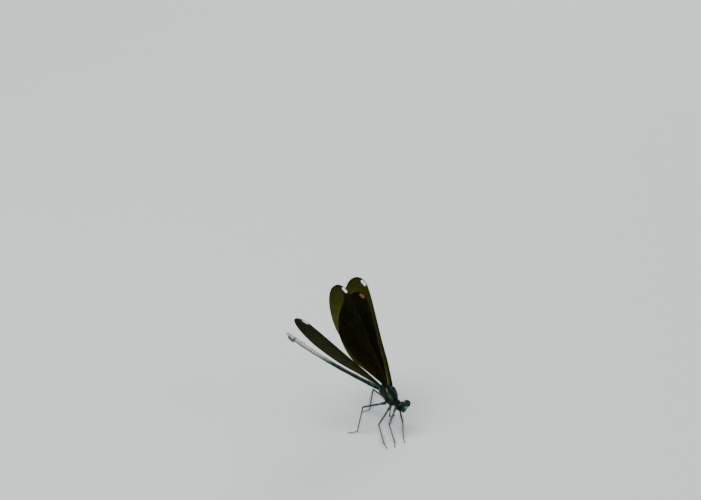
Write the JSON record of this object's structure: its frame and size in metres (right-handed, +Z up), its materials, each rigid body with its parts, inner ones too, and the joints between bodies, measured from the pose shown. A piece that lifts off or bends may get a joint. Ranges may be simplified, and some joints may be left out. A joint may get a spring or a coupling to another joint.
{
  "type": "damselfly",
  "caption": "Life-size jewelwing damselfly standing on six legs, nose down, with smoky wings half open over a long thin abdomen.",
  "frame": {"origin": "on the floor, under the middle of the model's bounding box", "axes": "+X forward along the body towards the head, +Y to the damselfly's left, +Z up from the floor it stands on"},
  "size_m": [0.0492, 0.0306, 0.0414],
  "materials": {
    "thorax": "dark metallic green cuticle, satin gloss",
    "abdomen": "dark metallic blue-green cuticle, satin gloss",
    "abdomen_pale": "pale grey waxy bloom over dark cuticle",
    "head": "near-black metallic green cuticle",
    "eye": "glossy black compound eye with a red tint",
    "leg": "black cuticle with a blue-green sheen",
    "wing": "smoky olive-brown translucent membrane with dark veins and a white mark near each tip"
  },
  "bodies": {
    "root": {"abdomen_1": "abdomen", "abdomen_10": "abdomen_pale", "abdomen_2": "abdomen", "abdomen_3": "abdomen", "abdomen_4": "abdomen", "abdomen_5": "abdomen", "abdomen_6": "abdomen_pale", "abdomen_7": "abdomen_pale", "abdomen_8": "abdomen_pale", "abdomen_9": "abdomen_pale", "antenna_left": "leg", "antenna_right": "leg", "cercus_left": "abdomen_pale", "cercus_right": "abdomen_pale", "eye_left": "eye", "eye_right": "eye", "femur_front_left": "leg", "femur_front_right": "leg", "femur_hind_left": "leg", "femur_hind_right": "leg", "femur_mid_left": "leg", "femur_mid_right": "leg", "forewing_left": "wing", "forewing_right": "wing", "head": "head", "hindwing_left": "wing", "hindwing_right": "wing", "mouthparts": "head", "ovipositor": "abdomen_pale", "prothorax": "thorax", "pterothorax": "thorax", "tarsus_front_left": "leg", "tarsus_front_right": "leg", "tarsus_hind_left": "leg", "tarsus_hind_right": "leg", "tarsus_mid_left": "leg", "tarsus_mid_right": "leg", "tibia_front_left": "leg", "tibia_front_right": "leg", "tibia_hind_left": "leg", "tibia_hind_right": "leg", "tibia_mid_left": "leg", "tibia_mid_right": "leg"}
  },
  "joints": []
}
